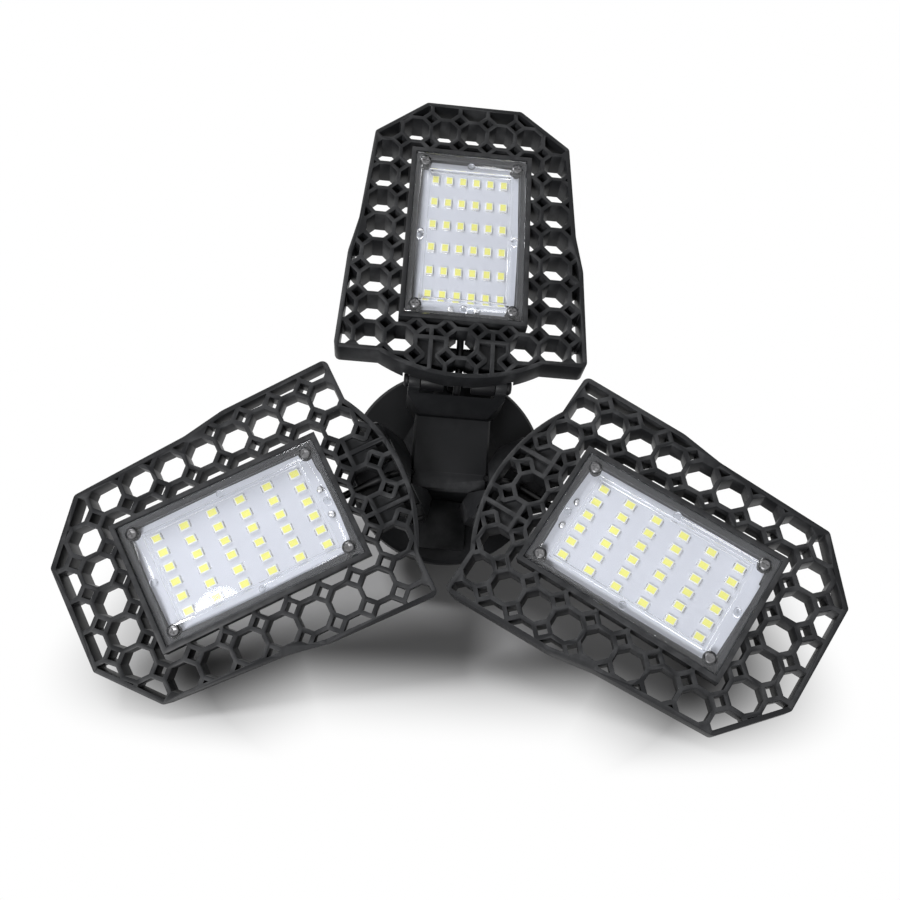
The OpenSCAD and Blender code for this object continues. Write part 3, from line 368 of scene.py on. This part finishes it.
def clear_lens_material():
    """Clear moulded window: sharp gloss with faint handling marks, and light passes to the board."""
    material, tree, shader = new_material("clear_lens")
    links = tree.tree.links
    place = tree.add("ShaderNodeTexCoord").outputs["Object"]
    marks = tree.noise(place, 120.0, detail=5.0, rough=0.7)
    wave = tree.noise(place, 25.0, detail=1.0)
    links.new(tree.ramp(marks, 0.45, 0.75, 0.02, 0.14), shader.inputs["Roughness"])
    bump = tree.add("ShaderNodeBump", {"Strength": 0.15, "Distance": 0.0004, "Height": wave})
    links.new(bump.outputs[0], shader.inputs["Normal"])
    shader.inputs["Base Color"].default_value = rgba(0.97, 0.98, 1.0)
    shader.inputs["Transmission Weight"].default_value = 1.0
    shader.inputs["IOR"].default_value = 1.49
    through = tree.add("ShaderNodeBsdfTransparent", {"Color": rgba(0.93, 0.94, 0.95)})
    path = tree.add("ShaderNodeLightPath").outputs
    scattered = tree.add("ShaderNodeMath", {0: path["Is Shadow Ray"], 1: path["Diffuse Depth"]},
                         operation="ADD", use_clamp=True)
    mixed = tree.add("ShaderNodeMixShader",
                     {0: scattered.outputs[0], 1: shader.outputs[0], 2: through.outputs[0]})
    output = next(n for n in tree.tree.nodes if n.type == "OUTPUT_MATERIAL")
    links.new(mixed.outputs[0], output.inputs[0])
    return material


def seen_directly(tree):
    """1 for what the camera sees, in reflections and through glass too, and 0 for scattered light."""
    path = tree.add("ShaderNodeLightPath").outputs
    seen = tree.add("ShaderNodeMath", {0: path["Is Camera Ray"], 1: path["Is Glossy Ray"]},
                    operation="MAXIMUM")
    seen = tree.add("ShaderNodeMath", {0: seen.outputs[0], 1: path["Is Transmission Ray"]},
                    operation="MAXIMUM")
    seen = tree.add("ShaderNodeMath", {0: seen.outputs[0], 1: path["Diffuse Depth"]},
                    operation="SUBTRACT", use_clamp=True)
    return seen.outputs[0]


def distance_before(tree, place):
    """How far a place on the floor lies before all of FLOOR_LINES, on the camera's side."""
    least = 1.0
    for first, last in FLOOR_LINES:
        along = (Vector(last) - Vector(first)).normalized()
        before = Vector((along.y, -along.x, 0))
        reach = tree.add("ShaderNodeVectorMath", {0: place, 1: before}, operation="DOT_PRODUCT")
        distance = tree.add("ShaderNodeMath",
                            {0: reach.outputs["Value"], 1: before.xy.dot(Vector(first))},
                            operation="SUBTRACT")
        least = tree.add("ShaderNodeMath", {0: distance.outputs[0], 1: least},
                         operation="MINIMUM").outputs[0]
    return least


def floor_material():
    """Pale floor that keeps the object's lamp shadow, is white a little way off and clear from below; round the
    object a painted shadow zone stays grey and fades to white.
    """
    material = bpy.data.materials.new("floor")
    material.use_nodes = True
    material.node_tree.nodes.clear()
    tree = Tree(material.node_tree)
    place = tree.add("ShaderNodeTexCoord").outputs["Object"]
    # Painted shadow: near the object and behind the lines under its front edges the camera sees the grey lit
    # floor, which fades to white further off.
    spread = tree.add("ShaderNodeVectorMath", {0: place, 1: PAINTED_SHADOW_HALF_SIZE}, operation="DIVIDE")
    squares = tree.add("ShaderNodeVectorMath", {0: spread.outputs[0], 1: spread.outputs[0]},
                       operation="MULTIPLY")
    length = tree.add("ShaderNodeVectorMath", {0: squares.outputs[0]}, operation="LENGTH")
    reach = tree.add("ShaderNodeMath", {0: length.outputs["Value"]}, operation="SQRT")
    away = tree.add("ShaderNodeMapRange",
                    {0: reach.outputs[0], 1: PAINTED_SHADOW_FADE[0], 2: PAINTED_SHADOW_FADE[1]},
                    interpolation_type="SMOOTHSTEP")
    front = tree.add("ShaderNodeMapRange",
                     {0: distance_before(tree, place), 1: PAINTED_SHADOW_FRONT_FADE[0], 2: PAINTED_SHADOW_FRONT_FADE[1]},
                     interpolation_type="SMOOTHSTEP")
    clear = tree.add("ShaderNodeMath", {0: away.outputs[0], 1: front.outputs[0]},
                     operation="MAXIMUM")
    share = tree.add("ShaderNodeMath", {0: seen_directly(tree), 1: clear.outputs[0]},
                     operation="MULTIPLY")
    matt = tree.add("ShaderNodeBsdfDiffuse", {"Color": FLOOR_COLOUR})
    white = tree.add("ShaderNodeEmission", {"Color": rgba(1.0, 1.0, 1.0), "Strength": 1.0})
    lit = tree.add("ShaderNodeMixShader", {0: share.outputs[0], 1: matt.outputs[0], 2: white.outputs[0]})
    back = tree.add("ShaderNodeNewGeometry").outputs["Backfacing"]
    hidden = tree.add("ShaderNodeBsdfTransparent")
    both = tree.add("ShaderNodeMixShader", {0: back, 1: lit.outputs[0], 2: hidden.outputs[0]})
    output = tree.add("ShaderNodeOutputMaterial")
    material.node_tree.links.new(both.outputs[0], output.inputs[0])
    return material


# The black plastic's lighter edge colour is a painted highlight along its sharp edges.
BLACK = dict(colour=(0.0125, 0.013, 0.0143), rough=0.42, specular=0.14, grain=0.12,
             edge_highlight=0.7, edge_highlight_colour=(0.06, 0.061, 0.064))

MATERIALS = {
    "black_plastic": lambda: skin_material("black_plastic", **BLACK),
    "clear_lens": clear_lens_material,
    "seal_rubber": lambda: skin_material("seal_rubber", (0.05, 0.051, 0.055), 0.4, 0.4, mottle=0.15),
    "white_board": lambda: skin_material(
        "white_board", (0.69, 0.70, 0.76), 0.42, 0.4, grain=0.05, scale=900.0, mottle=0.03),
    "led_body": lambda: skin_material("led_body", (0.97, 0.97, 0.91), 0.35, 0.5, mottle=0.02),
    "phosphor": lambda: skin_material(
        "phosphor", (0.98, 0.94, 0.22), 0.3, 0.5, grain=0.15, scale=3000.0, mottle=0.06, coat=0.3),
    "screw_steel": lambda: metal_material("screw_steel", (0.17, 0.17, 0.175), 0.34),
    "black_steel": lambda: skin_material("black_steel", (0.006, 0.006, 0.007), 0.45, 0.2),
    "lead_jacket": lambda: skin_material("lead_jacket", (0.012, 0.012, 0.013), 0.4, 0.4),
    "base_metal": lambda: metal_material("base_metal", (0.78, 0.77, 0.75), 0.22, spread=0.08),
    "base_insulator": lambda: skin_material(
        "base_insulator", (0.012, 0.012, 0.018), 0.12, 0.5, grain=0.03, mottle=0.2, coat=0.6),
    "contact_metal": lambda: metal_material("contact_metal", (0.66, 0.62, 0.55), 0.3),
    "circuit_board": lambda: skin_material(
        "circuit_board", (0.02, 0.13, 0.06), 0.3, 0.5, mottle=0.15, coat=0.4),
    "transformer_tape": lambda: skin_material(
        "transformer_tape", (0.62, 0.42, 0.04), 0.3, 0.5, mottle=0.12),
    "copper_winding": lambda: skin_material(
        "copper_winding", (0.36, 0.11, 0.03), 0.3, 0.6, grain=0.4, scale=1200.0),
    "capacitor_sleeve": lambda: skin_material(
        "capacitor_sleeve", (0.01, 0.018, 0.06), 0.25, 0.5, coat=0.3),
    "film_block": lambda: skin_material("film_block", (0.6, 0.44, 0.02), 0.35, 0.5),
    "black_resin": lambda: skin_material("black_resin", (0.012, 0.012, 0.012), 0.55, 0.4),
    "resistor_coat": lambda: skin_material("resistor_coat", (0.04, 0.17, 0.06), 0.5, 0.4),
    "white_nylon": lambda: skin_material("white_nylon", (0.76, 0.75, 0.7), 0.45, 0.45),
    "black_wire": lambda: skin_material("black_wire", (0.015, 0.015, 0.015), 0.35, 0.45),
    "white_wire": lambda: skin_material("white_wire", (0.75, 0.75, 0.72), 0.4, 0.45),
    "solder": lambda: metal_material("solder", (0.62, 0.62, 0.63), 0.25, spread=0.1),
}
_made = {}


def finish_of(name):
    """The material of that name, made once."""
    if name not in _made:
        _made[name] = MATERIALS[name]()
    return _made[name]


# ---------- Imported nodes: rounded edges, smooth curves and finishes ----------

SMOOTH_LIMIT = math.radians(32)      # edges up to this angle shade smooth
BEVEL_LIMIT = math.radians(40)       # edges over this angle are rounded
FLAT_LIMIT = math.radians(0.5)       # faces within this angle become one before the rounding
WELD_REACH = 0.002 * MM
EDGE_RADIUS = {
    "black_plastic": 0.22 * MM,
    "clear_lens": 0.12 * MM,
    "black_steel": 0.15 * MM,
    "screw_steel": 0.08 * MM,
    "led_body": 0.12 * MM,
    "white_nylon": 0.2 * MM,
    "base_metal": 0.15 * MM,
    "contact_metal": 0.15 * MM,
}


def make_smoothing():
    """A geometry node group that shades smooth across gentle angles only."""
    group = bpy.data.node_groups.new("smooth_curves", "GeometryNodeTree")
    group.interface.new_socket("Geometry", in_out="INPUT", socket_type="NodeSocketGeometry")
    group.interface.new_socket("Geometry", in_out="OUTPUT", socket_type="NodeSocketGeometry")
    tree = Tree(group)
    entry = tree.add("NodeGroupInput")
    leave = tree.add("NodeGroupOutput")
    angle = tree.add("GeometryNodeInputMeshEdgeAngle").outputs["Unsigned Angle"]
    gentle = tree.add("FunctionNodeCompare", {0: angle, 1: SMOOTH_LIMIT}, operation="LESS_THAN")
    faces = tree.add("GeometryNodeSetShadeSmooth",
                     {"Geometry": entry.outputs[0], "Shade Smooth": True}, domain="FACE")
    edges = tree.add("GeometryNodeSetShadeSmooth",
                     {"Geometry": faces.outputs[0], "Shade Smooth": gentle.outputs[0]}, domain="EDGE")
    group.links.new(edges.outputs[0], leave.inputs[0])
    return group


SMOOTHING = make_smoothing()


def dress(obj, material_name):
    """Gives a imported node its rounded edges, smooth shading and material, with modifiers alone."""
    weld = obj.modifiers.new("weld", "WELD")
    weld.merge_threshold = WELD_REACH
    radius = EDGE_RADIUS.get(material_name)
    if radius:
        flat = obj.modifiers.new("flat_faces", "DECIMATE")
        flat.decimate_type = "DISSOLVE"
        flat.angle_limit = FLAT_LIMIT
        bevel = obj.modifiers.new("rounded_edges", "BEVEL")
        bevel.width = radius
        bevel.segments = 2
        bevel.limit_method = "ANGLE"
        bevel.angle_limit = BEVEL_LIMIT
        bevel.use_clamp_overlap = True
    smooth = obj.modifiers.new("smooth_curves", "NODES")
    smooth.node_group = SMOOTHING
    material = finish_of(material_name)
    if not obj.material_slots:
        obj.data.materials.append(material)
    for slot in obj.material_slots:
        slot.material = material


# ---------- Mesh helpers for the added pieces ----------


def add_piece(name, mesh, material_name, body=None):
    piece = bpy.data.objects.new(name, mesh)
    bpy.context.scene.collection.objects.link(piece)
    mesh.materials.append(finish_of(material_name))
    if body:
        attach(piece, body)
    return piece


def mesh_of(name, vertices, faces, smooth=True):
    mesh = bpy.data.meshes.new(name)
    mesh.from_pydata([tuple(v) for v in vertices], [], faces)
    mesh.validate()
    for polygon in mesh.polygons:
        polygon.use_smooth = smooth
    return mesh


def grid_faces(rings, sides, closed=False):
    """Quads between successive rings of points."""
    last = rings if closed else rings - 1
    faces = []
    for k in range(last):
        first, second = k * sides, (k + 1) % rings * sides
        for j in range(sides):
            near = (j + 1) % sides
            faces.append((first + j, first + near, second + near, second + j))
    return faces


def smooth_path(points, step):
    """Points every step or so along a smooth curve through the given ones."""
    ends = [points[0] * 2 - points[1]] + points + [points[-1] * 2 - points[-2]]
    path = []
    for k in range(1, len(ends) - 2):
        before, here, there, after = ends[k - 1:k + 3]
        count = max(2, round((there - here).length / step))
        for i in range(count):
            t = i / count
            path.append(0.5 * (2 * here + (there - before) * t
                               + (2 * before - 5 * here + 4 * there - after) * t ** 2
                               + (3 * here - before - 3 * there + after) * t ** 3))
    return path + [points[-1]]


def tube(name, path, radius, sides=16):
    """A closed tube along a path, with rounded ends."""
    rings = []
    side = Vector((1, 0, 0))
    for k, at in enumerate(path):
        ahead = (path[min(k + 1, len(path) - 1)] - path[max(k - 1, 0)]).normalized()
        side = (side - ahead * side.dot(ahead)).normalized()
        other = ahead.cross(side)
        for j in range(sides):
            turn = 2 * math.pi * j / sides
            rings.append(at + radius * (side * math.cos(turn) + other * math.sin(turn)))
    faces = grid_faces(len(path), sides)
    faces.append(tuple(reversed(range(sides))))
    faces.append(tuple(range(len(rings) - sides, len(rings))))
    return mesh_of(name, rings, faces)


def lathe(profile, sides, place):
    """Points and faces turned about z from a profile of (radius, height), both ends on the axis."""
    points = []
    for radius, height in profile[1:-1]:
        points += [place @ Vector((radius * math.cos(2 * math.pi * j / sides),
                                   radius * math.sin(2 * math.pi * j / sides), height))
                   for j in range(sides)]
    faces = grid_faces(len(profile) - 2, sides)
    first, last = len(points), len(points) + 1
    points += [place @ Vector((0, 0, profile[0][1])), place @ Vector((0, 0, profile[-1][1]))]
    tail = (len(profile) - 3) * sides
    for j in range(sides):
        near = (j + 1) % sides
        faces.append((first, near, j))
        faces.append((last, tail + j, tail + near))
    return points, faces


def joined(name, parts, smooth=True):
    """One mesh from several (points, faces) pairs."""
    points, faces = [], []
    for part_points, part_faces in parts:
        base = len(points)
        points += part_points
        faces += [tuple(base + i for i in face) for face in part_faces]
    return mesh_of(name, points, faces, smooth)


# ---------- Panels' own places ----------


def joint_of(panel):
    return next(j for j in frame["joints"] if j["child"] == "panel_" + panel)


def hinge_place(panel):
    """Hinge frame of a panel with no tilt."""
    joint = joint_of(panel)
    at = Vector(joint["pos_m"])
    along = -Vector(joint["axis"]).normalized()
    outward = Vector((at.x, at.y, 0)).normalized()
    turn = Matrix((along, outward, along.cross(outward))).transposed().to_4x4()
    return Matrix.Translation(at) @ turn


def panel_place(panel):
    """Hinge frame of a panel, tilted as it is at rest."""
    tilt = math.radians(FORWARD_LIMIT - joint_of(panel)["range_deg"][0])
    return hinge_place(panel) @ Matrix.Rotation(-tilt, 4, "X")


# ---------- Pieces on the boards ----------

PAD_W = 2.3 * MM
PAD_L = 0.9 * MM
PAD_H = 0.16 * MM
PAD_TOP_W = 0.86             # shares of a pad's width and length that its flat top keeps
PAD_TOP_L = 0.6
PAD_REACH = 0.42 * MM        # how far a solder pad shows past the end of its LED


def pad(place, centre):
    """A low solder fillet with sloping sides."""
    low = [(x * PAD_W / 2, y * PAD_L / 2) for x, y in ((-1, -1), (1, -1), (1, 1), (-1, 1))]
    points = [place @ (centre + Vector((x, y, 0))) for x, y in low]
    points += [place @ (centre + Vector((x * PAD_TOP_W, y * PAD_TOP_L, PAD_H))) for x, y in low]
    faces = [(3, 2, 1, 0), (4, 5, 6, 7)]
    faces += [(k, (k + 1) % 4, 4 + (k + 1) % 4, 4 + k) for k in range(4)]
    return points, faces


def led_places():
    """Middle of each LED's foot on the board."""
    for column in range(LED_COLUMNS):
        for row in range(LED_ROWS):
            yield Vector(((column - (LED_COLUMNS - 1) / 2) * LED_PITCH_X,
                          WINDOW_MID_Y + (row - (LED_ROWS - 1) / 2) * LED_PITCH_Y, BOARD_TOP_Z))


def make_pads(panel):
    """The solder fillets at both ends of every LED, as one mesh."""
    place = panel_place(panel)
    reach = LED_L / 2 + PAD_REACH - PAD_L / 2
    parts = [pad(place, at + Vector((0, side * reach, 0))) for at in led_places() for side in (-1, 1)]
    name = f"panel_{panel}_solder_pads"
    piece = add_piece(name, joined(name, parts, smooth=False), "solder", f"panel_{panel}")


# ---------- Leads ----------

SOLDER_R = 1.3 * MM
SOLDER_H = 0.95 * MM
SOLDER_SIDES = 16
SOLDER_STEPS = 6             # rings up the side of a solder joint
BEND_HALF = 5 * MM           # the lead bends over this length on each side of the hinge axis


def make_lead(panel):
    """One smooth lead from the hub's connector past the hinge to the board's back."""
    hub_side, panel_side = hinge_place(panel), panel_place(panel)
    into_hub = CONNECTOR_PIN.normalized()
    points = [hub_side @ CONNECTOR_PIN, hub_side @ (CONNECTOR_PIN * 0.6), hub_side @ (into_hub * 9 * MM),
              hub_side @ (into_hub * BEND_HALF),
              panel_side @ Vector((0, 0.7 * LEAD_Z, 0.45 * LEAD_Z)),
              panel_side @ Vector((0, 2.2 * LEAD_Z, LEAD_Z)),
              panel_side @ Vector((0, 4 * LEAD_Z, LEAD_Z)),
              panel_side @ Vector((0, LEAD_END_Y, LEAD_Z))]
    name = f"panel_{panel}_jacketed_lead"
    lead = add_piece(name, tube(name, smooth_path(points, 0.7 * MM), LEAD_R), "lead_jacket")
    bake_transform(lead)
    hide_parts("hub_leads", f"panel_{panel}_lead")


def make_cores(panel):
    """Two thin wires that leave the jacket and rise to their solder joints."""
    place = panel_place(panel)
    for side, label in ((-1, "left"), (1, "right")):
        points = [Vector((side * 0.5 * MM, LEAD_END_Y - 1.5 * MM, LEAD_Z)),
                  Vector((side * 0.9 * MM, LEAD_END_Y + 0.6 * MM, LEAD_Z)),
                  Vector((side * 0.8 * SOLDER_X, SOLDER_Y - 1.0 * MM, LEAD_Z)),
                  Vector((side * SOLDER_X, SOLDER_Y, LEAD_Z + 1.2 * MM)),
                  Vector((side * SOLDER_X, SOLDER_Y, BOARD_TOP_Z + 0.3 * MM))]
        path = smooth_path([place @ point for point in points], 0.5 * MM)
        name = f"panel_{panel}_core_{label}"
        core = add_piece(name, tube(name, path, CORE_R, sides=10), "white_wire", f"panel_{panel}")
    angles = [math.pi / 2 * k / SOLDER_STEPS for k in range(SOLDER_STEPS)]
    profile = [(0, 0)]
    profile += [(SOLDER_R * math.cos(angle) ** 0.8, SOLDER_H * math.sin(angle)) for angle in angles]
    profile.append((0, SOLDER_H))
    parts = []
    for side in (-1, 1):
        at = place @ Matrix.Translation(Vector((side * SOLDER_X, SOLDER_Y, BOARD_TOP_Z)))
        parts.append(lathe(profile, SOLDER_SIDES, at))
    name = f"panel_{panel}_solder_joints"
    joints = add_piece(name, joined(name, parts), "solder", f"panel_{panel}")


# ---------- Screw base ----------

THREAD_SIDES = 96
THREAD_RING = 0.2 * MM
THREAD_FADE = 1.2 * MM
RIM = 0.45 * MM              # rolled rim at both ends of the shell


def make_thread():
    """The rolled shell with its rounded thread."""
    rings = round((SHELL_TOP - COLLAR_H) / THREAD_RING)
    root = THREAD_CREST_R - THREAD_DEPTH
    points = []
    for k in range(rings + 1):
        z = COLLAR_H + (SHELL_TOP - COLLAR_H) * k / rings
        fade = min(1, (z - COLLAR_H) / THREAD_FADE, (SHELL_TOP - z) / THREAD_FADE)
        lip = RIM * max(0, 1 - (SHELL_TOP - z) / RIM)
        for j in range(THREAD_SIDES):
            turn = 2 * math.pi * j / THREAD_SIDES
            wave = (1 + math.cos(2 * math.pi * z / THREAD_PITCH - turn)) / 2
            radius = root + THREAD_DEPTH * wave * fade - lip
            points.append(Vector((radius * math.cos(turn), radius * math.sin(turn), z)))
    for z in (SHELL_TOP, COLLAR_H):
        for j in range(THREAD_SIDES):
            turn = 2 * math.pi * j / THREAD_SIDES
            points.append(Vector((SHELL_INNER_R * math.cos(turn), SHELL_INNER_R * math.sin(turn), z)))
    mesh = mesh_of("screw_shell", points, grid_faces(rings + 3, THREAD_SIDES, closed=True))
    shell = add_piece("screw_shell", mesh, "base_metal", "hub")
    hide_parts("base_shell")


# ---------- Light ----------

WORLD_LIGHT = 0.1
# Each lamp: its place from the light's middle (across, away, up), its diameter and its watts
LAMPS = {
    "front": ((-0.3, -0.9, 0.04), 0.3, 6.8),
    "overhead": ((-0.45, 0.0, 0.85), 0.4, 6.5),
}


def area_light(name, at, towards, size, power):
    data = bpy.data.lights.new(name, "AREA")
    data.shape = "DISK"
    data.size = size
    data.energy = power
    lamp = bpy.data.objects.new(name, data)
    bpy.context.scene.collection.objects.link(lamp)
    lamp.location = at
    lamp.rotation_mode = "QUATERNION"
    lamp.rotation_quaternion = (towards - at).to_track_quat("-Z", "Y")


def make_lights(up):
    """A low soft lamp beside the camera for the fronts and a broad one overhead for the shadow."""
    middle = (cad_box[0] + cad_box[1]) / 2
    across, away = floor_axes(up)
    for name, (place, size, power) in LAMPS.items():
        at = middle + across * place[0] + away * place[1] + up * place[2]
        area_light(name, at, middle, size, power)


def make_world():
    """White to the camera and in reflections, softer as light on the object."""
    world = bpy.data.worlds.new("studio")
    bpy.context.scene.world = world
    world.use_nodes = True
    world.node_tree.nodes.clear()
    tree = Tree(world.node_tree)
    level = tree.ramp(seen_directly(tree), 0.0, 1.0, WORLD_LIGHT, 1.0)
    background = tree.add("ShaderNodeBackground", {"Color": rgba(1.0, 1.0, 1.0), "Strength": level})
    output = tree.add("ShaderNodeOutputWorld")
    world.node_tree.links.new(background.outputs[0], output.inputs[0])


# ---------- Everything together ----------

make_camera()
for node_name, node in NODES.items():
    dress(node, SLOT_OF[node_name])
for panel_name in PANELS:
    make_pads(panel_name)
    make_lead(panel_name)
    make_cores(panel_name)
make_thread()

floor_up, floor_height = resting_plane()
make_floor(floor_up, floor_height)
make_lights(floor_up)
make_world()
bpy.context.scene.view_settings.view_transform = "Standard"
